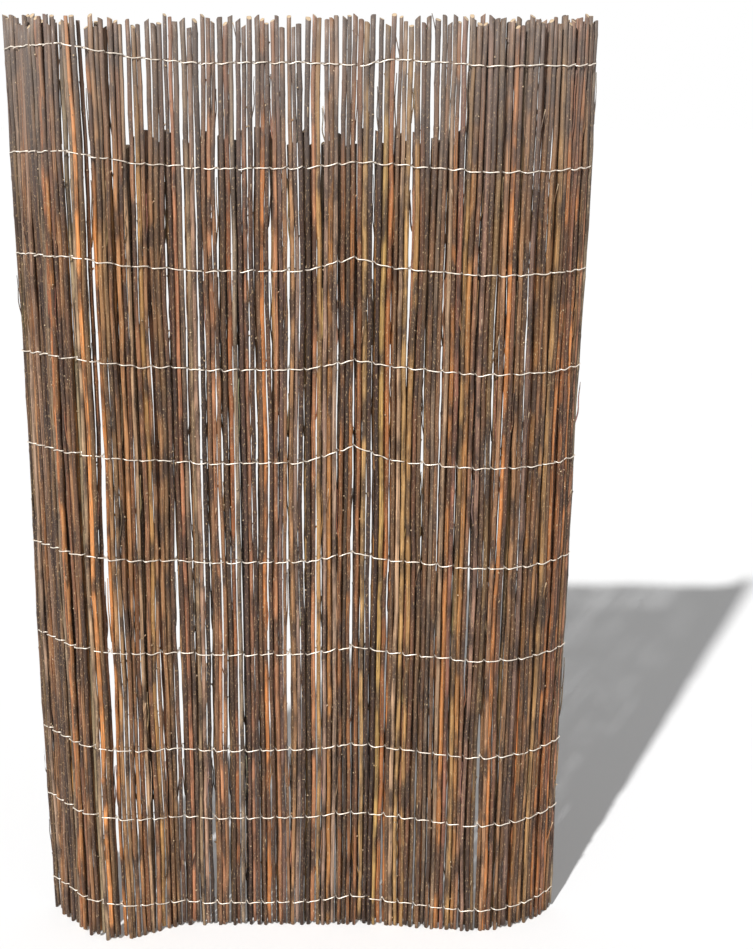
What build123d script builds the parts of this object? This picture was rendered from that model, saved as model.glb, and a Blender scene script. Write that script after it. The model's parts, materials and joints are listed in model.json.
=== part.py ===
from build123d import *
import os
import random
from dataclasses import dataclass
from math import radians, sin, tan

# Willow fence: upright willow rods tied side by side into a mat, in bundles of
# two layers. Rows of twisted wire hold the bundles, one strand on each face of
# the mat, and the two strands are twisted together in every gap between two
# bundles. The mat stands on edge, folded forward at its left end and curled
# back at its right end. Front is -Y, the ground is Z = 0. Sizes are in mm.

# The mat
mat_height = 1000.0
top_raggedness = 12.0
foot_raggedness = 6.0

# The line on the ground that the mat follows, from its left end to its right
foot_corners = [(-286, 34), (-222, -42), (-140, -3), (78, -1), (239, -21), (288, 36)]
foot_radii = [45, 80, 200, 110]

# Willow rods, thick at the butt and thin at the tip
butt_diameter = 4.9
butt_spread = 0.7
tip_diameter = 4.1
tip_spread = 0.5
rod_sides = 6
rods_in_layer = 3
rod_clearance = 0.3
tip_up_share = 0.15

# Half of the bundles bend a little at about this height
bend_height = 520.0
bend_spread = 130.0

# The back layer is moved sideways, so that its rods close the gaps in front.
# It moves the way that closes them for someone who stands at this point, and
# keeps its way while they look at the mat more squarely than the least slant.
layer_shift = 2.4
closed_from = (12, -1480)
least_slant = 6.0

# How much of a layer's spare room lies at its covering end, and how much of a
# front layer's lies at its two ends at the top, where the rods stand in clumps
covering_share = 5.0
clump_share = 1.6

# In this stretch of the mat the back rods stop short of the top
short_rod_top = 886.0
short_rod_spread = 9.0
short_stretch = (140.0, 485.0)

# In this stretch the back layer has one rod fewer, and light shows through
open_stretch = (190.0, 330.0)

# Galvanised wire
wire_size = 1.0
wire_clearance = 0.25
twist_gap = 2.0
twist_size = 0.8
twist_sides = 3
straight_within = 0.5

# Wire rows above the ground, and how each rises and dips along the mat
wire_heights = [33, 142, 226, 341, 447, 557, 656, 757, 858, 957]
crest_heights = [6, 4, 5, 6, 8, 16, 8, 11, 3, -5]
crest_place = 372
wander_places = [0, 95, 140, 230, 318, 415, 500, 625]
wander_heights = [10, 16, 4, -3, -2, 1, -5, -5]

half_depth = butt_diameter + butt_spread + rod_clearance / 2
strand_offset = half_depth + wire_clearance + wire_size / 2
chance = random.Random(1001)


@dataclass
class Rod:
    """One rod: its layer, its ends, its two diameters and its place at each level."""
    side: int
    foot: float
    top: float
    foot_diameter: float
    top_diameter: float
    levels: list
    places: list

    def diameter_at(self, height):
        share = height / mat_height
        return self.foot_diameter + (self.top_diameter - self.foot_diameter) * share

    def place_at(self, height):
        return between(self.levels, self.places, height)

    def heights(self):
        bends = [level for level in self.levels if self.foot < level < self.top]
        return [self.foot, *bends, self.top]


@dataclass
class Bundle:
    """A bundle of rods, where it stands on the foot line and how it is turned."""
    rods: list
    width: float
    way: int = 1
    distance: float = 0
    centre: Vector = None
    heading: Vector = None

    def point(self, along, outward, height):
        """A point of the bundle; outward is positive towards the back of the mat."""
        back = Vector(-self.heading.Y, self.heading.X, 0)
        return self.centre + self.heading * along + back * outward + Vector(0, 0, height)


def between(levels, values, height):
    """The value at a height, on straight lines between the levels."""
    for low, high, first, last in zip(levels, levels[1:], values, values[1:]):
        if height <= high:
            return first + (last - first) * (height - low) / (high - low)
    return values[-1]


def rod_diameters():
    """Foot and top diameters of one rod; most rods stand with the butt up."""
    butt = butt_diameter + chance.uniform(-butt_spread, butt_spread)
    tip = min(butt, tip_diameter + chance.uniform(-tip_spread, tip_spread))
    return (butt, tip) if chance.random() < tip_up_share else (tip, butt)


def layer_width(diameters):
    """The room that a layer of rods needs at its wider end."""
    widest = max(sum(pair[end] for pair in diameters) for end in (0, 1))
    return widest + rod_clearance * (len(diameters) - 1)


def room_shares(side, way, count, at_top):
    """How the spare room of a layer is shared out before, between and after its rods."""
    shares = [chance.uniform(0.1, 1) for _ in range(count + 1)]
    if side > 0:
        shares[0 if way > 0 else -1] = covering_share
    elif at_top:
        shares[0] = shares[-1] = clump_share
    return shares


def side_by_side(diameters, width, shares):
    """Places of rods across a layer, with its spare room shared out."""
    spare = width - sum(diameters) - rod_clearance * (len(diameters) - 1)
    edge = -width / 2
    places = []
    for diameter, share in zip(diameters, shares):
        edge += spare * share / sum(shares)
        places.append(edge + diameter / 2)
        edge += diameter + rod_clearance
    return places


def layer_of_rods(side, diameters, bundle, levels, short):
    """The rods of one layer; the first one of each bundle reaches the ground."""
    rows = []
    for level in levels:
        share = level / mat_height
        sizes = [foot + (top - foot) * share for foot, top in diameters]
        shares = room_shares(side, bundle.way, len(sizes), level == mat_height)
        rows.append(side_by_side(sizes, bundle.width, shares))
    rods = []
    for number, (foot_size, top_size) in enumerate(diameters):
        grounded = number == 0
        foot = 0 if grounded else chance.uniform(0, foot_raggedness)
        top = mat_height - chance.uniform(0, top_raggedness)
        if side < 0 and grounded:
            top = mat_height - chance.uniform(0, top_raggedness) / 2
        if short:
            top = short_rod_top + chance.uniform(-short_rod_spread, short_rod_spread)
        shift = layer_shift / 2 * side * bundle.way
        places = [row[number] + shift for row in rows]
        rods.append(Rod(side, foot, top, foot_size, top_size, levels, places))
    return rods


def make_bundle(distance):
    """A bundle for the stretch of mat that starts at this distance, its rods not yet laid."""
    in_open = open_stretch[0] < distance < open_stretch[1]
    back_count = rods_in_layer - 1 if in_open else rods_in_layer
    front = [rod_diameters() for _ in range(rods_in_layer)]
    back = [rod_diameters() for _ in range(back_count)]
    return Bundle([front, back], max(layer_width(front), layer_width(back)))


def lay_rods(bundle):
    """Turns the diameters that a bundle holds into rods at their places."""
    front, back = bundle.rods
    levels = [0, mat_height]
    if chance.random() < 0.5:
        levels.insert(1, bend_height + chance.uniform(-bend_spread, bend_spread))
    short = short_stretch[0] < bundle.distance < short_stretch[1]
    bundle.rods = layer_of_rods(-1, front, bundle, levels, False)
    bundle.rods += layer_of_rods(1, back, bundle, levels, short)


def covering_way(bundle, last_way):
    """Which way the back layer moves: along the heading or, if negative, against it."""
    look = (bundle.centre - Vector(*closed_from, 0)).normalized()
    slant = look.dot(bundle.heading)
    if abs(slant) < sin(radians(least_slant)):
        return last_way
    return -1 if slant > 0 else 1


def stand(bundle, line, distance):
    """Stands a bundle on the foot line, square to it."""
    bundle.distance = distance
    bundle.centre = line.position_at(distance, position_mode=PositionMode.LENGTH)
    bundle.heading = line.tangent_at(distance, position_mode=PositionMode.LENGTH)


def turn_between(first, second):
    """How far the mat turns from one bundle to the next, in degrees."""
    return first.heading.get_angle(second.heading)


def place_beside(last, bundle, line):
    """Stands a bundle beside the last one, with room for the twist and the turn."""
    step = (last.width + bundle.width) / 2 + twist_gap
    stand(bundle, line, last.distance + step)
    for _ in range(2):
        opening = 2 * half_depth * tan(radians(turn_between(last, bundle)) / 2)
        bundle.way = covering_way(bundle, last.way)
        if bundle.way != last.way:
            opening += layer_shift
        stand(bundle, line, min(last.distance + step + opening, line.length))


def fill_foot_line(line):
    """Bundles side by side, as many as the foot line holds."""
    bundles = []
    newest = make_bundle(0)
    stand(newest, line, newest.width / 2)
    while newest.distance + newest.width / 2 < line.length:
        lay_rods(newest)
        bundles.append(newest)
        following = make_bundle(newest.distance + newest.width / 2)
        place_beside(newest, following, line)
        newest = following
    return bundles


def centre_on_origin(bundles):
    """Moves the bundles so that the middle of the mat's plan is the origin."""
    corners = [bundle.point(side * bundle.width / 2, face * strand_offset, 0)
               for bundle in bundles for side in (-1, 1) for face in (-1, 1)]
    middle_x = (min(p.X for p in corners) + max(p.X for p in corners)) / 2
    middle_y = (min(p.Y for p in corners) + max(p.Y for p in corners)) / 2
    for bundle in bundles:
        bundle.centre -= Vector(middle_x, middle_y, 0)


def gap_sides(bundles, gap, outward):
    """Points at both sides of a gap, this far out from the mat's middle.

    Gap 0 is the mat's left edge and the last gap its right edge.
    """
    left = bundles[gap - 1] if gap > 0 else None
    right = bundles[gap] if gap < len(bundles) else None
    sides = []
    if left:
        sides.append(left.point((left.width + twist_gap) / 2, outward, 0))
    if right:
        sides.append(right.point(-(right.width + twist_gap) / 2, outward, 0))
    return sides


def gap_middle(bundles, gap, outward):
    """The middle of a gap, this far out from the mat's middle."""
    sides = gap_sides(bundles, gap, outward)
    return (sides[0] + sides[-1]) * 0.5


def corner_point(bundles, gap, outward):
    """Where the faces on both sides of a gap meet, this far out from the mat's middle."""
    sides = gap_sides(bundles, gap, outward)
    if len(sides) == 1:
        return sides[0]
    first, second = bundles[gap - 1].heading, bundles[gap].heading
    crossing = first.cross(second).Z
    if abs(crossing) < sin(radians(straight_within)):
        return gap_middle(bundles, gap, outward)
    along = (sides[1] - sides[0]).cross(second).Z / crossing
    return sides[0] + first * along


def wander_knots(bundles, row):
    """The rise or dip of a wire row at the gaps nearest to the places where it bends."""
    distances = [bundle.distance - bundle.width / 2 for bundle in bundles]
    distances.append(bundles[-1].distance + bundles[-1].width / 2)
    bends = sorted([*zip(wander_places, wander_heights), (crest_place, crest_heights[row])])
    knots = {}
    for place, rise in bends:
        gap = min(range(len(distances)), key=lambda g: abs(distances[g] - place))
        knots[gap] = rise
    knots.setdefault(len(bundles), wander_heights[-1])
    return knots


def wire_height(knots, row, gap):
    """Height of a wire row at a gap."""
    gaps = sorted(knots)
    return wire_heights[row] + between(gaps, [knots[g] for g in gaps], gap)


def kept_gaps(bundles, knots):
    """The gaps where a strand changes direction, between which it runs straight."""
    kept = []
    for gap in range(len(bundles) + 1):
        at_edge = gap in (0, len(bundles))
        if at_edge or gap in knots:
            kept.append(gap)
        elif turn_between(bundles[gap - 1], bundles[gap]) > straight_within:
            kept.append(gap)
    return kept


def strand_height(knots, row, kept, gap):
    """Height of a strand at any gap, on its straight runs between the kept gaps."""
    return between(kept, [wire_height(knots, row, g) for g in kept], gap)


def heading_at(bundles, gap):
    """The way that a strand runs at a gap, between its runs before and after."""
    first = bundles[max(gap - 1, 0)].heading
    second = bundles[min(gap, len(bundles) - 1)].heading
    return (first + second).normalized()


def make_strand(bundles, side, row):
    """One strand of wire along a face of the mat, as straight runs from gap to gap."""
    knots = wander_knots(bundles, row)
    kept = kept_gaps(bundles, knots)
    with BuildPart() as strand:
        for gap in kept:
            lift = Vector(0, 0, strand_height(knots, row, kept, gap))
            corner = corner_point(bundles, gap, side * strand_offset) + lift
            with BuildSketch(Plane(corner, x_dir=(0, 0, 1), z_dir=heading_at(bundles, gap))):
                Rectangle(wire_size, wire_size)
        loft(ruled=True)
    return strand.part


def layer_offset(bundles, gap):
    """How far the back layer is moved sideways from the middle at a gap."""
    near = bundles[max(gap - 1, 0):gap + 1]
    offset = Vector(0, 0, 0)
    for bundle in near:
        offset += bundle.heading * (layer_shift / 2 * bundle.way / len(near))
    return offset


def make_twists(bundles, row):
    """The twists of a wire row, one through each gap and one round each edge."""
    knots = wander_knots(bundles, row)
    kept = kept_gaps(bundles, knots)
    with BuildPart() as twists:
        for gap in range(len(bundles) + 1):
            lift = Vector(0, 0, strand_height(knots, row, kept, gap))
            beside = layer_offset(bundles, gap)
            reach = half_depth - wire_clearance
            front = gap_middle(bundles, gap, -reach) - beside + lift
            back = gap_middle(bundles, gap, reach) + beside + lift
            with BuildSketch(Plane(front, x_dir=(0, 0, 1), z_dir=back - front)):
                RegularPolygon(twist_size / 2, twist_sides)
            extrude(amount=(back - front).length)
    return twists.part


def make_rods(bundle):
    """The rods of a bundle, each a tapered stick with flat faces."""
    with BuildPart() as rods:
        for rod in bundle.rods:
            for height in rod.heights():
                size = rod.diameter_at(height)
                outward = rod.side * (half_depth - size / 2)
                foot = bundle.point(rod.place_at(height), outward, height)
                with BuildSketch(Plane(foot, x_dir=bundle.heading, z_dir=(0, 0, 1))):
                    RegularPolygon(size / 2, rod_sides)
            loft(ruled=True)
    return rods.part


def save(part, name):
    part.label = name
    export_step(part, f"parts/{name}.step")


os.makedirs("parts", exist_ok=True)

with BuildLine() as foot_line:
    FilletPolyline(*foot_corners, radius=foot_radii)
mat = fill_foot_line(foot_line.wires()[0])
centre_on_origin(mat)

for number, bundle in enumerate(mat, start=1):
    save(make_rods(bundle), f"willow_bundle_{number:02d}")

for row in range(len(wire_heights)):
    save(make_strand(mat, -1, row), f"front_wire_{row + 1:02d}")
    back_wire = Compound(children=[make_strand(mat, 1, row), *make_twists(mat, row).solids()])
    save(back_wire, f"back_wire_{row + 1:02d}")

print(len(mat), "bundles,", sum(len(bundle.rods) for bundle in mat), "rods,",
      round(mat[-1].distance + mat[-1].width / 2), "mm along the mat")
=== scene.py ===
import json
import math
import random
from typing import Callable, NamedTuple
import bmesh
import bpy
from mathutils import Matrix, Vector, noise


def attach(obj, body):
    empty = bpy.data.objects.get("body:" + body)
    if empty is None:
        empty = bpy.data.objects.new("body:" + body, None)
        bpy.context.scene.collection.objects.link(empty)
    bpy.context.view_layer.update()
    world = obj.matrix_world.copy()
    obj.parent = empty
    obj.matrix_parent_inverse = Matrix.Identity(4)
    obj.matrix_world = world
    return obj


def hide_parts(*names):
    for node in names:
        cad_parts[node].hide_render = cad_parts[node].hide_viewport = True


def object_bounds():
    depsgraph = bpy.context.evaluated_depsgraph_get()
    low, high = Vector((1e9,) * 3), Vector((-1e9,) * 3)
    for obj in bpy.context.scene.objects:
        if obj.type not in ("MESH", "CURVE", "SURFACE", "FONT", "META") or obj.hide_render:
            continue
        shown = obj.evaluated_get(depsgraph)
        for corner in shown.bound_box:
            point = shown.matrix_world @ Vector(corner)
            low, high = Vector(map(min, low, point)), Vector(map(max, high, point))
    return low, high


bl_info = {
    "name": "Willow Fence",
    "version": (1, 0, 0),
    "blender": (4, 5, 0),
    "location": "View3D > Sidebar > Willow Fence",
    "description": "Grows the bark, buds and cut shoots of a willow fence and twists its wires",
    "category": "Add Mesh",
}

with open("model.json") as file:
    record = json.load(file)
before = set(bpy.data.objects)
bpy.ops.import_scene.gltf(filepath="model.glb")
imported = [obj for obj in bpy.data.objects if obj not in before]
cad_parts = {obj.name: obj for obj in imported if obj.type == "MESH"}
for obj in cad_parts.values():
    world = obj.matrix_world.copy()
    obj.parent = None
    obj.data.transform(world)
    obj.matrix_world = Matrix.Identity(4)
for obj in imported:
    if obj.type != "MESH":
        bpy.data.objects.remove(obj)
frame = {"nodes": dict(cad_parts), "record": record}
CAD_BOX = [list(corner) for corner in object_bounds()]
BUNDLES = sorted(name for name in frame["nodes"] if name.startswith("willow_bundle_"))
FRONT_WIRES = sorted(name for name in frame["nodes"] if name.startswith("front_wire_"))
BACK_WIRES = sorted(name for name in frame["nodes"] if name.startswith("back_wire_"))
SLOTS = {part["node"]: part["material_slot"] for part in frame["record"]["subparts"]}

# Lengths are in metres
MERGE_DISTANCE = 0.000005
DIGITS = 5
FULL_TURN = 6.28

# Willow tones, and how many rods in a hundred have each
BARK_TONES = {
    "brown": ((0.49, 0.35, 0.24), 30),
    "orange": ((0.63, 0.41, 0.23), 22),
    "ochre": ((0.54, 0.40, 0.25), 10),
    "taupe": ((0.52, 0.42, 0.34), 18),
    "umber": ((0.39, 0.27, 0.20), 12),
    "dark": ((0.25, 0.17, 0.12), 8),
}
TONE_LIGHT = (0.72, 1.3)
TONE_TINT = (0.95, 1.05)
DARK_PATCH = (0.035, 0.02, 0.014, 1)
PALE_SPECK = (0.52, 0.36, 0.2, 1)
WEATHERED = (0.19, 0.155, 0.135, 1)
BARE_WOOD = (0.56, 0.42, 0.27, 1)
WORN_WIRE = (0.24, 0.17, 0.12, 1)
WHITE = (1, 1, 1, 1)
FLOOR_WHITE = (0.82, 0.82, 0.82, 1)
GRAIN_RANGE = 10

# Rods: bud spacing, swellings and rough bark, in shares of the bud gap or the radius
FIRST_BUD = (0.2, 1.0)
NEXT_BUD = (0.55, 1.5)
BUDLESS_TOP = 0.012
BUD_RINGS = (-0.004, 0.0, 0.004)
BUD_TURN = 2.4
SWELL = (0.06, 0.16)
SWELL_REACH = 0.0035
KINK_REACH = 0.02
ROUGHNESS = 0.09
ROUGH_PITCH = 60

# Rods: bows, each with a share of the setting and its radians per metre of height
BOW_SHARE = (0.5, 1)
BOW_TURNS = (2.2, 7.5)
BOW_LEAN = 0.6
SWAY_SHARE = (0.4, 0.7)
SWAY_TURNS = (5, 22)

# Cut ends: width of the rim, steepest slope, and how far a cut goes into top and foot
RIM = 0.12
INSIDE_RIM = 0.95
CUT_SLOPE = 0.9
CUT_DROP = 0.6
FOOT_DROP = 0.3

# Side growth: its length, its radius, and its rise for each step outward
LONG_SHOOT = ((0.014, 0.034), 0.00055, 4.5)
CUT_SHOOT = ((0.0016, 0.0036), (0.0007, 0.0011), 0.9)
BUD = ((0.0018, 0.003), (0.0005, 0.0008), 2.6)
STUB_SIDES, STUB_RINGS, STUB_TIP = 6, 3, 0.72
STUB_SEAT = 0.72
STUB_END = 0.9
BUD_SHADE = 0.75

# Shoots at the edges of a bundle, between two wire rows
EDGE_RODS = 2
ROW_CLEARANCE = 0.004
EDGE_SIDES, EDGE_RINGS, EDGE_TIP = 5, 8, 0.55
EDGE_LENGTH = (0.03, 0.085)
LONGEST_SHARE = 0.95
EDGE_REACH = (0.0008, 0.0026)
EDGE_RADIUS = (0.0006, 0.001)
EDGE_FORWARD = (-0.5, 0.5)
EDGE_SHADE = (0.6, 0.95)
EDGE_SEAT = 0.8
LEAVING_RATE = 2.5
EDGE_WAVE, EDGE_WAVES = 0.0004, 9

# Wires: places of the knots across a bundle, and the twist in a gap
FACE_SHARES = (0.1, 0.35, 0.65, 0.9)
FACE_CLEARANCE = 0.00035
TWIST_STEPS = 4
TWIST_PITCH = 0.0005
TWIST_SPREAD = 1.05

SUN_WAY = (0.545, 1.065, -1.0)
SUN_SIZE = math.radians(1.6)
FLOOR_REACH = 12
FLOOR_GLOW = 0.06
SENSOR_WIDTH = 36


class RodSettings(bpy.types.PropertyGroup):
    sides: bpy.props.IntProperty(
        name="Sides", description="Faces round a rod", default=10, min=5, max=24)
    rings: bpy.props.IntProperty(
        name="Rings", description="Rings of points along a rod", default=84, min=20, max=200)
    bow: bpy.props.FloatProperty(
        name="Bow", description="How far a rod bows to a side",
        default=0.0012, unit="LENGTH")
    kink: bpy.props.FloatProperty(
        name="Kink", description="How far a rod steps aside at a bud",
        default=0.0005, unit="LENGTH")
    bud_gap: bpy.props.FloatProperty(
        name="Bud Gap", description="Distance from one bud to the next",
        default=0.042, unit="LENGTH")
    stub_share: bpy.props.FloatProperty(
        name="Cut Shoots", description="Share of the buds with a cut side shoot",
        default=0.22, min=0, max=1, subtype="FACTOR")
    shoot_share: bpy.props.FloatProperty(
        name="Long Shoots", description="Share of the buds with a thin side shoot",
        default=0.03, min=0, max=1, subtype="FACTOR")
    edge_shoots: bpy.props.IntProperty(
        name="Edge Shoots", description="Long shoots on each edge rod of a bundle",
        default=3, min=0, max=12)
    sway: bpy.props.FloatProperty(
        name="Sway", description="How far a whole bundle bows along the mat",
        default=0.0013, unit="LENGTH")
    seed: bpy.props.IntProperty(
        name="Seed", description="Draw of the chances", default=7)


class WireSettings(bpy.types.PropertyGroup):
    radius: bpy.props.FloatProperty(
        name="Radius", description="Radius of the wire", default=0.00062, unit="LENGTH")
    slant: bpy.props.FloatProperty(
        name="Slant", description="Rise of a wire across half a bundle",
        default=0.0009, unit="LENGTH")
    wobble: bpy.props.FloatProperty(
        name="Wobble", description="Unevenness of the wire's height",
        default=0.0011, unit="LENGTH")
    color: bpy.props.FloatVectorProperty(
        name="Colour", description="Colour of the galvanised wire",
        default=(0.86, 0.77, 0.66), subtype="COLOR", size=3)
    seed: bpy.props.IntProperty(
        name="Seed", description="Draw of the chances", default=11)


class StageSettings(bpy.types.PropertyGroup):
    lens: bpy.props.FloatProperty(
        name="Lens", description="Focal length of the camera", default=56.2, unit="CAMERA")
    camera_place: bpy.props.FloatVectorProperty(
        name="Camera", description="Where the camera stands",
        default=(0.0122, -1.4775, 1.0), subtype="TRANSLATION", size=3)
    camera_tilt: bpy.props.FloatProperty(
        name="Tilt", description="How far the camera looks down",
        default=math.radians(17.3), subtype="ANGLE")
    shift: bpy.props.FloatProperty(
        name="Shift", description="Sideways shift of the lens that frames the fence",
        default=0.067)
    key_strength: bpy.props.FloatProperty(
        name="Key Light", description="Strength of the light from the front left", default=4.2)
    fill_strength: bpy.props.FloatProperty(
        name="Fill Light", description="Strength of the light from all sides", default=0.31)


class Work(NamedTuple):
    """What the rods of one bundle are grown with."""
    bm: bmesh.types.BMesh
    layers: dict
    templates: dict
    fields: list
    settings: RodSettings
    dice: random.Random


class Rod(NamedTuple):
    """One rod under growth: its CAD rings, its bend by height, its bark colour and grain."""
    rings: list
    bend: Callable
    color: tuple
    grain: float


def linear(color):
    """A colour as seen on screen, turned into the shader's own values."""
    return tuple(((c + 0.055) / 1.055) ** 2.4 if c > 0.04045 else c / 12.92 for c in color)


def islands(node):
    """The separate solids of a CAD node, each as a list of its corners."""
    bm = bmesh.new()
    bm.from_mesh(frame["nodes"][node].data)
    bmesh.ops.remove_doubles(bm, verts=bm.verts, dist=MERGE_DISTANCE)
    found = []
    unseen = set(bm.verts)
    while unseen:
        front = [unseen.pop()]
        corners = []
        while front:
            vert = front.pop()
            corners.append(vert.co.copy())
            for edge in vert.link_edges:
                other = edge.other_vert(vert)
                if other in unseen:
                    unseen.remove(other)
                    front.append(other)
        found.append(sorted(corners, key=tuple))
    bm.free()
    found.sort(key=lambda corners: min((round(c.x, DIGITS), round(c.y, DIGITS)) for c in corners))
    return found


def middle(points):
    """The mean of some points."""
    return sum(points, Vector()) / len(points)


def rod_rings(corners):
    """Centre and radius of a rod at each of its levels, from its foot to its top."""
    levels = {}
    for corner in corners:
        levels.setdefault(round(corner.z, DIGITS), []).append(corner)
    rings = []
    for height in sorted(levels):
        centre = middle(levels[height])
        rings.append((centre, max((corner - centre).length for corner in levels[height])))
    return rings


def along_rings(rings, height):
    """Centre and radius of a rod at a height."""
    for (low, low_size), (high, high_size) in zip(rings, rings[1:]):
        if height <= high.z:
            share = (height - low.z) / (high.z - low.z)
            return low.lerp(high, share), low_size + (high_size - low_size) * share
    return rings[-1]


def inside_box(point):
    """A point, held inside the box of the CAD part."""
    return Vector([min(max(c, low), high) for c, low, high in zip(point, *CAD_BOX)])


def sideways(way):
    """A level direction from its angle."""
    return Vector((math.cos(way), math.sin(way), 0))


def stick_template(name, sides, rings, tip=1.0, rim=0.0):
    """A straight stick one unit high and one in radius, tapered to its tip, with rings."""
    bm = bmesh.new()
    bmesh.ops.create_cone(bm, cap_ends=True, cap_tris=False, segments=sides, radius1=1,
                          radius2=tip, depth=1, matrix=Matrix.Translation((0, 0, 0.5)))
    upright = [e for e in bm.edges if abs(e.verts[0].co.z - e.verts[1].co.z) > 0.5]
    bmesh.ops.subdivide_edges(bm, edges=upright, cuts=rings - 1)
    if rim:
        caps = [f for f in bm.faces if abs(f.normal.z) > 0.5]
        bmesh.ops.inset_region(bm, faces=caps, thickness=rim, use_even_offset=True)
    mesh = bpy.data.meshes.new(name)
    bm.to_mesh(mesh)
    bm.free()
    return mesh


def add_stick(work, kind, color, grain):
    """Adds a copy of a template to the bundle, in a bark colour, and returns its points."""
    before = len(work.bm.verts)
    work.bm.from_mesh(work.templates[kind])
    work.bm.verts.ensure_lookup_table()
    verts = work.bm.verts[before:]
    for vert in verts:
        vert[work.layers["bark"]] = (*color, 1)
        vert[work.layers["grain"]] = grain
        vert[work.layers["cut"]] = 0
    return verts


def bud_heights(foot, top, gap, dice):
    """Heights of the buds along a rod."""
    heights = []
    height = foot + dice.uniform(*FIRST_BUD) * gap
    while height < top - BUDLESS_TOP:
        heights.append(height)
        height += gap * dice.uniform(*NEXT_BUD)
    return heights


def ring_heights(foot, top, buds, count):
    """Heights of a rod's rings: close together at its buds and even between them."""
    heights = {foot, top}
    for bud in buds:
        heights.update(bud + step for step in BUD_RINGS if foot < bud + step < top)
    heights = sorted(heights)[:count]
    heights[-1] = top
    while len(heights) < count + 1:
        _, low, high = max((b - a, a, b) for a, b in zip(heights, heights[1:]))
        heights.append((low + high) / 2)
        heights.sort()
    return heights


def free_fields():
    """Heights between each two wire rows, clear of both, from the ground up."""
    rows = []
    for name in FRONT_WIRES:
        heights = [vert.co.z for vert in frame["nodes"][name].data.vertices]
        rows.append((min(heights), max(heights)))
    return [(below[1] + ROW_CLEARANCE, above[0] - ROW_CLEARANCE)
            for below, above in zip(rows, rows[1:])]


def draw_tone(dice):
    """A bark colour, drawn by the tones' shares and varied a little."""
    tones = list(BARK_TONES.values())
    color, _ = dice.choices(tones, weights=[weight for _, weight in tones])[0]
    light = dice.uniform(*TONE_LIGHT)
    return linear([min(1, c * light * dice.uniform(*TONE_TINT)) for c in color])


def draw_sway(reach, dice):
    """Draws how a whole bundle bows along the mat: two waves over its height."""
    return [(reach * dice.uniform(*SWAY_SHARE), dice.uniform(*SWAY_TURNS),
             dice.uniform(0, FULL_TURN)) for _ in range(2)]


def draw_bend(buds, sway, settings, dice):
    """Draws how far a rod is off its line at a height: with its bundle, alone, at its buds."""
    bows = [(dice.uniform(*BOW_SHARE) * settings.bow, dice.uniform(*BOW_TURNS),
             dice.uniform(0, FULL_TURN), dice.uniform(0, FULL_TURN)) for _ in range(2)]
    steps = [(bud, dice.uniform(0, FULL_TURN)) for bud in buds]

    def bend(height):
        offset = Vector((sum(reach * math.sin(height * turns + phase)
                             for reach, turns, phase in sway), 0, 0))
        for reach, turns, phase, way in bows:
            offset += sideways(way) * (math.sin(height * turns + phase) * reach * BOW_LEAN)
        for bud, way in steps:
            near = math.exp(-((height - bud) / KINK_REACH) ** 2)
            offset += sideways(way) * near * settings.kink
        return offset

    return bend


def draw_radius(buds, grain, dice):
    """Draws a rod's radius at a height: swollen at its buds, uneven between them."""
    swell = dice.uniform(*SWELL)

    def radius(height, size):
        near = sum(math.exp(-((height - bud) / SWELL_REACH) ** 2) for bud in buds)
        rough = noise.noise(Vector((grain, height * ROUGH_PITCH, 0)))
        return size * (1.0 + swell * near + ROUGHNESS * rough)

    return radius


def grow_rod(work, rings, sway, side):
    """Grows one rod round its CAD rod, with its buds and shoots; side is its free side."""
    settings, dice = work.settings, work.dice
    foot, top = rings[0][0].z, rings[-1][0].z
    buds = bud_heights(foot, top, settings.bud_gap, dice)
    heights = ring_heights(foot, top, buds, settings.rings)
    bend = draw_bend(buds, sway, settings, dice)
    rod = Rod(rings, bend, draw_tone(dice), dice.uniform(0, GRAIN_RANGE))
    radius = draw_radius(buds, rod.grain, dice)
    slope = [dice.uniform(-CUT_SLOPE, CUT_SLOPE) for _ in range(2)]

    for vert in add_stick(work, "stick", rod.color, rod.grain):
        ring = min(settings.rings, max(0, round(vert.co.z * settings.rings)))
        height = heights[ring]
        centre, size = along_rings(rings, height)
        spread = Vector((vert.co.x, vert.co.y, 0)) * radius(height, size)
        drop = 0
        if ring in (0, settings.rings):
            drop = spread.x * slope[0] + spread.y * slope[1] - size * CUT_DROP
            if Vector((vert.co.x, vert.co.y)).length < INSIDE_RIM:
                vert[work.layers["cut"]] = 1
        vert.co = inside_box(centre + bend(height) + spread)
        vert.co.z = height + (min(drop, 0) if ring else max(-drop * FOOT_DROP, 0))

    way = dice.uniform(0, FULL_TURN)
    for bud in buds:
        way += BUD_TURN
        add_side_growth(work, rod, bud, way)
    if side:
        fields = [field for field in work.fields if field[0] > foot and field[1] < top]
        for field in dice.sample(fields, min(settings.edge_shoots, len(fields))):
            add_edge_shoot(work, rod, side, field)


def add_side_growth(work, rod, height, way):
    """Adds a bud, the stub of a cut side shoot, or a thin side shoot to a rod."""
    settings, dice = work.settings, work.dice
    centre, size = along_rings(rod.rings, height)
    draw = dice.random()
    bare = draw < settings.shoot_share + settings.stub_share
    kind = LONG_SHOOT if draw < settings.shoot_share else CUT_SHOOT if bare else BUD
    lengths, radii, rise = kind
    length = dice.uniform(*lengths)
    thick = radii if isinstance(radii, float) else dice.uniform(*radii)
    outward = sideways(way)
    lean = (outward + Vector((0, 0, rise))).normalized()
    start = centre + rod.bend(height) + outward * size * STUB_SEAT
    turn = lean.to_track_quat("Z", "Y").to_matrix().to_4x4()
    place = Matrix.Translation(start) @ turn @ Matrix.Diagonal((thick, thick, length, 1))
    shade = 1.0 if bare else BUD_SHADE
    for vert in add_stick(work, "stub", [c * shade for c in rod.color], rod.grain):
        if bare and vert.co.z > STUB_END:
            vert[work.layers["cut"]] = 1
        vert.co = inside_box(place @ vert.co)


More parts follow.
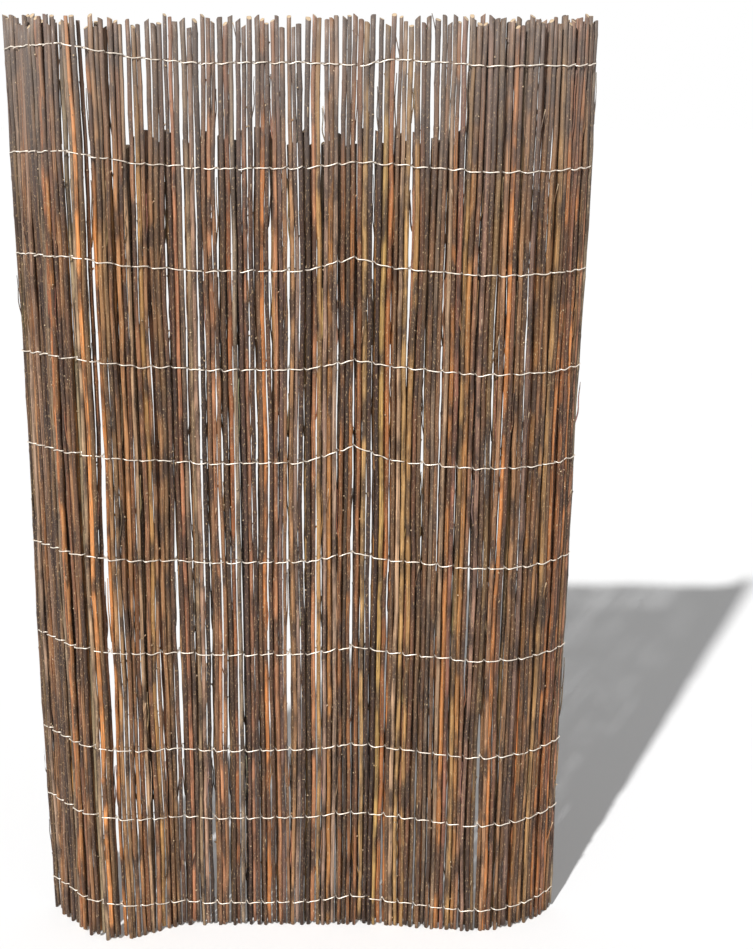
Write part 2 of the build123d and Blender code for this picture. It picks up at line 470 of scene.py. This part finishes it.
def add_edge_shoot(work, rod, side, field):
    """Adds a long thin shoot beside an edge rod, between two wire rows."""
    dice = work.dice
    low, high = field
    length = min(dice.uniform(*EDGE_LENGTH), (high - low) * LONGEST_SHARE)
    foot = low + dice.uniform(0, 1) * (high - low - length)
    reach = dice.uniform(*EDGE_REACH)
    thick = dice.uniform(*EDGE_RADIUS)
    phase = dice.uniform(0, FULL_TURN)
    outward = Vector((side, dice.uniform(*EDGE_FORWARD), 0)).normalized()
    color = [c * dice.uniform(*EDGE_SHADE) for c in rod.color]
    for vert in add_stick(work, "edge shoot", color, rod.grain):
        share = vert.co.z
        height = foot + share * length
        centre, size = along_rings(rod.rings, height)
        away = size * EDGE_SEAT + reach * math.sin(min(1, share * LEAVING_RATE) * math.pi / 2)
        away += EDGE_WAVE * math.sin(share * EDGE_WAVES + phase)
        spread = Vector((vert.co.x, vert.co.y, 0)) * thick
        vert.co = inside_box(centre + rod.bend(height) + outward * away + spread)


def new_piece(name, mesh, material, node):
    """Links a finished mesh as a piece that replaces a CAD node and moves with the fence."""
    piece = bpy.data.objects.new(name, mesh)
    bpy.context.scene.collection.objects.link(piece)
    mesh.materials.append(material)
    mesh.polygons.foreach_set("use_smooth", [True] * len(mesh.polygons))
    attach(piece, "root")
    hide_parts(node)


def add_node(tree, kind, place, **values):
    """A shader node at a place on the sheet, with some of its values set."""
    node = tree.nodes.new(kind)
    node.location = place
    for name, value in values.items():
        setattr(node, name, value)
    return node


def mix_color(tree, place, blend, factor, first, second):
    """A colour mix; each of its inputs is a value or a socket."""
    node = add_node(tree, "ShaderNodeMix", place, data_type="RGBA", blend_type=blend)
    for socket, value in ((0, factor), (6, first), (7, second)):
        if isinstance(value, bpy.types.NodeSocket):
            tree.links.new(value, node.inputs[socket])
        else:
            node.inputs[socket].default_value = value
    return node.outputs[2]


def map_range(tree, place, value, low, high, to_low, to_high):
    """A value carried from one range to another."""
    node = add_node(tree, "ShaderNodeMapRange", place)
    for name, number in zip(("From Min", "From Max", "To Min", "To Max"),
                            (low, high, to_low, to_high)):
        node.inputs[name].default_value = number
    tree.links.new(value, node.inputs["Value"])
    return node.outputs["Result"]


def noise_socket(tree, place, vector, scale, detail):
    """Noise over a stretched pattern space."""
    mapping = add_node(tree, "ShaderNodeMapping", (place[0] - 200, place[1]))
    mapping.inputs["Scale"].default_value = scale
    tree.links.new(vector, mapping.inputs["Vector"])
    texture = add_node(tree, "ShaderNodeTexNoise", place)
    texture.inputs["Scale"].default_value = 1
    texture.inputs["Detail"].default_value = detail
    tree.links.new(mapping.outputs["Vector"], texture.inputs["Vector"])
    return texture.outputs["Fac"]


def bark_material(name):
    """Dried willow bark: streaks along the rod, dark patches, pale specks, bare cut wood."""
    material = bpy.data.materials.new(name)
    material.use_nodes = True
    tree = material.node_tree
    shader = tree.nodes["Principled BSDF"]
    shader.inputs["Specular IOR Level"].default_value = 0.42
    coords = add_node(tree, "ShaderNodeTexCoord", (-1500, 0)).outputs["Object"]
    bark = add_node(tree, "ShaderNodeAttribute", (-1500, 300), attribute_name="bark")
    cut = add_node(tree, "ShaderNodeAttribute", (-1500, -300), attribute_name="cut")
    grain = add_node(tree, "ShaderNodeAttribute", (-1500, -500), attribute_name="grain")
    offset = add_node(tree, "ShaderNodeVectorMath", (-1300, 0), operation="ADD")
    tree.links.new(coords, offset.inputs[0])
    tree.links.new(grain.outputs["Vector"], offset.inputs[1])
    place = offset.outputs["Vector"]

    streaks = noise_socket(tree, (-1000, 300), place, (900, 900, 14), 3)
    patches = noise_socket(tree, (-1000, 50), place, (60, 60, 22), 4)
    specks = noise_socket(tree, (-1000, -200), place, (1100, 1100, 420), 1)
    fibres = noise_socket(tree, (-1000, -450), place, (2600, 2600, 60), 2)

    light = map_range(tree, (-700, 300), streaks, 0.32, 0.68, 0.26, 1.6)
    gray = add_node(tree, "ShaderNodeCombineColor", (-600, 150))
    for socket in ("Red", "Green", "Blue"):
        tree.links.new(light, gray.inputs[socket])
    color = mix_color(tree, (-400, 300), "MULTIPLY", 1.0, bark.outputs["Color"],
                      gray.outputs["Color"])
    dark = map_range(tree, (-700, 50), patches, 0.44, 0.62, 0.0, 0.88)
    color = mix_color(tree, (-200, 300), "MIX", dark, color, DARK_PATCH)
    pale = map_range(tree, (-700, -200), specks, 0.63, 0.72, 0.0, 0.8)
    color = mix_color(tree, (0, 300), "MIX", pale, color, PALE_SPECK)

    height = add_node(tree, "ShaderNodeSeparateXYZ", (-1300, -700))
    tree.links.new(coords, height.inputs["Vector"])
    high = map_range(tree, (-1000, -700), height.outputs["Z"], 0.8, 0.97, 0.0, 0.55)
    color = mix_color(tree, (200, 300), "MIX", high, color, WEATHERED)
    color = mix_color(tree, (400, 300), "MIX", cut.outputs["Fac"], color, BARE_WOOD)
    tree.links.new(color, shader.inputs["Base Color"])

    rough = map_range(tree, (-200, -100), patches, 0.3, 0.7, 0.42, 0.66)
    tree.links.new(rough, shader.inputs["Roughness"])
    bump = add_node(tree, "ShaderNodeBump", (0, -300))
    bump.inputs["Strength"].default_value = 0.5
    bump.inputs["Distance"].default_value = 0.0003
    tree.links.new(fibres, bump.inputs["Height"])
    tree.links.new(bump.outputs["Normal"], shader.inputs["Normal"])
    shader.location = (600, 300)
    tree.nodes["Material Output"].location = (900, 300)
    return material


def wire_material(settings):
    """Galvanised wire, dull silver with a few dark spots."""
    material = bpy.data.materials.new("galvanised_wire")
    material.use_nodes = True
    tree = material.node_tree
    shader = tree.nodes["Principled BSDF"]
    shader.inputs["Metallic"].default_value = 0.55
    coords = add_node(tree, "ShaderNodeTexCoord", (-900, 0)).outputs["Object"]
    spots = noise_socket(tree, (-500, 0), coords, (140, 140, 140), 3)
    worn = map_range(tree, (-300, 0), spots, 0.52, 0.72, 0.0, 0.7)
    color = mix_color(tree, (-100, 100), "MIX", worn, (*settings.color, 1), WORN_WIRE)
    tree.links.new(color, shader.inputs["Base Color"])
    rough = map_range(tree, (-300, -200), spots, 0.3, 0.7, 0.32, 0.55)
    tree.links.new(rough, shader.inputs["Roughness"])
    return material


class FENCE_OT_rods(bpy.types.Operator):
    """Grow the willow rods of every bundle"""
    bl_idname = "willow_fence.rods"
    bl_label = "Grow Rods"

    def execute(self, context):
        settings = context.scene.fence_rods
        templates = {
            "stick": stick_template("stick", settings.sides, settings.rings, rim=RIM),
            "stub": stick_template("stub", STUB_SIDES, STUB_RINGS, tip=STUB_TIP),
            "edge shoot": stick_template("edge shoot", EDGE_SIDES, EDGE_RINGS, tip=EDGE_TIP),
        }
        materials = {slot: bark_material(slot) for slot in sorted({SLOTS[n] for n in BUNDLES})}
        fields = free_fields()
        for number, node in enumerate(BUNDLES):
            dice = random.Random(settings.seed * 1000 + number)
            bm = bmesh.new()
            layers = {"bark": bm.verts.layers.float_color.new("bark"),
                      "grain": bm.verts.layers.float.new("grain"),
                      "cut": bm.verts.layers.float.new("cut")}
            work = Work(bm, layers, templates, fields, settings, dice)
            sway = draw_sway(settings.sway, dice)
            rods = [rod_rings(corners) for corners in islands(node)]
            for place, rings in enumerate(rods):
                side = -1 if place < EDGE_RODS else 1 if place >= len(rods) - EDGE_RODS else 0
                grow_rod(work, rings, sway, side)
            mesh = bpy.data.meshes.new(f"{node}_bark")
            bm.to_mesh(mesh)
            bm.free()
            new_piece(f"{node}_bark", mesh, materials[SLOTS[node]], node)
        for template in templates.values():
            bpy.data.meshes.remove(template)
        return {"FINISHED"}


def row_twists(node):
    """The front and back end of each twist of a wire row, from left to right."""
    solids = sorted(islands(node), key=len)
    twists = []
    for corners in solids[:-1]:
        deep = sorted(corners, key=lambda c: c.y)
        twists.append((middle(deep[:3]), middle(deep[3:])))
    return sorted(twists, key=lambda ends: ends[0].x)


def wire_route(twists, side, settings, dice):
    """Points of one wire: across each bundle's face, and a full twist in each gap."""
    points = []
    spread = settings.radius * TWIST_SPREAD
    for gap, ends in enumerate(twists):
        centre = middle(ends)
        before = twists[max(gap - 1, 0)]
        after = twists[min(gap + 1, len(twists) - 1)]
        run = (middle(after) - middle(before)).normalized()
        out = Vector((-run.y, run.x, 0))
        for step in range(TWIST_STEPS + 1):
            angle = math.tau * step / TWIST_STEPS + (0 if side < 0 else math.pi)
            along = run * (step - TWIST_STEPS / 2) * TWIST_PITCH
            around = out * -math.cos(angle) * spread + Vector((0, 0, math.sin(angle) * spread))
            points.append(centre + along + around)
        if gap + 1 < len(twists):
            points += face_points(ends, twists[gap + 1], side, settings, dice)
    return points


def face_points(first, second, side, settings, dice):
    """Points of a wire on the face of one bundle, slanting a little across it."""
    near = 0 if side < 0 else 1
    start, end = first[near], second[near]
    run = (end - start).normalized()
    out = Vector((-run.y, run.x, 0)).normalized() * side
    lift = out * (settings.radius + FACE_CLEARANCE)
    slant = settings.slant * -side
    places = []
    for share in FACE_SHARES:
        rise = slant * (share - 0.5) * 2 + dice.uniform(-1, 1) * settings.wobble
        places.append(start.lerp(end, share) + lift + Vector((0, 0, rise)))
    return places


def wire_mesh(name, points, radius):
    """A round wire along some points."""
    curve = bpy.data.curves.new(name, "CURVE")
    curve.dimensions = "3D"
    curve.resolution_u = 2
    curve.bevel_depth = radius
    curve.bevel_resolution = 1
    curve.use_fill_caps = True
    spline = curve.splines.new("NURBS")
    spline.points.add(len(points) - 1)
    for point, place in zip(spline.points, points):
        point.co = (*place, 1)
    spline.order_u = 3
    spline.use_endpoint_u = True
    holder = bpy.data.objects.new(name, curve)
    bpy.context.scene.collection.objects.link(holder)
    bpy.context.view_layer.update()
    shaped = holder.evaluated_get(bpy.context.evaluated_depsgraph_get())
    mesh = bpy.data.meshes.new_from_object(shaped)
    bpy.data.objects.remove(holder)
    bpy.data.curves.remove(curve)
    return mesh


class FENCE_OT_wires(bpy.types.Operator):
    """Twist the wires of every row"""
    bl_idname = "willow_fence.wires"
    bl_label = "Twist Wires"

    def execute(self, context):
        settings = context.scene.fence_wires
        material = wire_material(settings)
        for row, (front, back) in enumerate(zip(FRONT_WIRES, BACK_WIRES)):
            dice = random.Random(settings.seed * 1000 + row)
            twists = row_twists(back)
            for side, node in ((-1, front), (1, back)):
                points = wire_route(twists, side, settings, dice)
                mesh = wire_mesh(f"{node}_round", points, settings.radius)
                new_piece(f"{node}_round", mesh, material, node)
        return {"FINISHED"}


def floor_material():
    """A white floor that shows the fence's shadow in grey."""
    material = bpy.data.materials.new("studio_floor")
    material.use_nodes = True
    tree = material.node_tree
    shader = tree.nodes["Principled BSDF"]
    shader.inputs["Base Color"].default_value = FLOOR_WHITE
    shader.inputs["Roughness"].default_value = 0.95
    shader.inputs["Specular IOR Level"].default_value = 0.1
    path = add_node(tree, "ShaderNodeLightPath", (-300, 500))
    glow = add_node(tree, "ShaderNodeEmission", (0, 300))
    glow.inputs["Color"].default_value = WHITE
    strength = add_node(tree, "ShaderNodeMath", (-150, 300), operation="MULTIPLY")
    strength.inputs[1].default_value = FLOOR_GLOW
    tree.links.new(path.outputs["Is Camera Ray"], strength.inputs[0])
    tree.links.new(strength.outputs[0], glow.inputs["Strength"])
    both = add_node(tree, "ShaderNodeAddShader", (300, 300))
    tree.links.new(shader.outputs["BSDF"], both.inputs[0])
    tree.links.new(glow.outputs["Emission"], both.inputs[1])
    tree.links.new(both.outputs["Shader"], tree.nodes["Material Output"].inputs["Surface"])
    return material


def studio_world(strength):
    """A white backdrop for the camera and an even soft light for the fence."""
    world = bpy.data.worlds.new("studio")
    bpy.context.scene.world = world
    world.use_nodes = True
    tree = world.node_tree
    glow = tree.nodes["Background"]
    glow.inputs["Color"].default_value = WHITE
    path = add_node(tree, "ShaderNodeLightPath", (-900, 200))
    seen = add_node(tree, "ShaderNodeMath", (-700, 200), operation="MAXIMUM")
    clear = add_node(tree, "ShaderNodeMath", (-500, 200), operation="MAXIMUM")
    tree.links.new(path.outputs["Is Camera Ray"], seen.inputs[0])
    tree.links.new(path.outputs["Is Glossy Ray"], seen.inputs[1])
    tree.links.new(seen.outputs[0], clear.inputs[0])
    tree.links.new(path.outputs["Is Transmission Ray"], clear.inputs[1])
    level = map_range(tree, (-300, 200), clear.outputs[0], 0, 1, strength, 1.0)
    tree.links.new(level, glow.inputs["Strength"])


class FENCE_OT_stage(bpy.types.Operator):
    """Set the floor, the lights and the camera"""
    bl_idname = "willow_fence.stage"
    bl_label = "Set Stage"

    def execute(self, context):
        settings = context.scene.fence_stage
        bm = bmesh.new()
        bmesh.ops.create_grid(bm, x_segments=1, y_segments=1, size=FLOOR_REACH)
        mesh = bpy.data.meshes.new("floor")
        bm.to_mesh(mesh)
        bm.free()
        floor = bpy.data.objects.new("floor", mesh)
        context.scene.collection.objects.link(floor)
        mesh.materials.append(floor_material())
        studio_world(settings.fill_strength)

        sun = bpy.data.lights.new("key", "SUN")
        sun.energy = settings.key_strength
        sun.angle = SUN_SIZE
        lamp = bpy.data.objects.new("key", sun)
        lamp.rotation_euler = Vector(SUN_WAY).to_track_quat("-Z", "Y").to_euler()
        context.scene.collection.objects.link(lamp)

        view = bpy.data.cameras.new("camera")
        view.lens = settings.lens
        view.sensor_width = SENSOR_WIDTH
        view.shift_x = settings.shift
        camera = bpy.data.objects.new("camera", view)
        camera.location = settings.camera_place
        camera.rotation_euler = (math.pi / 2 - settings.camera_tilt, 0, 0)
        context.scene.collection.objects.link(camera)
        context.scene.camera = camera
        context.scene.view_settings.view_transform = "Standard"
        return {"FINISHED"}


class FENCE_PT_panel(bpy.types.Panel):
    """The fence's pieces and their sizes"""
    bl_idname = "FENCE_PT_panel"
    bl_label = "Willow Fence"
    bl_space_type = "VIEW_3D"
    bl_region_type = "UI"
    bl_category = "Willow Fence"

    def draw(self, context):
        for operator, group in PANEL_ROWS:
            box = self.layout.box()
            box.operator(operator.bl_idname)
            for name in GROUPS[group].__annotations__:
                box.prop(getattr(context.scene, group), name)


GROUPS = {"fence_rods": RodSettings, "fence_wires": WireSettings, "fence_stage": StageSettings}
OPERATORS = (FENCE_OT_rods, FENCE_OT_wires, FENCE_OT_stage)
PANEL_ROWS = tuple(zip(OPERATORS, GROUPS))


def register():
    for cls in (*GROUPS.values(), *OPERATORS, FENCE_PT_panel):
        bpy.utils.register_class(cls)
    for name, group in GROUPS.items():
        setattr(bpy.types.Scene, name, bpy.props.PointerProperty(type=group))


def unregister():
    for name in GROUPS:
        delattr(bpy.types.Scene, name)
    for cls in reversed((*GROUPS.values(), *OPERATORS, FENCE_PT_panel)):
        bpy.utils.unregister_class(cls)


def main():
    register()
    bpy.ops.willow_fence.rods()
    bpy.ops.willow_fence.wires()
    bpy.ops.willow_fence.stage()


if __name__ == "__main__":
    main()
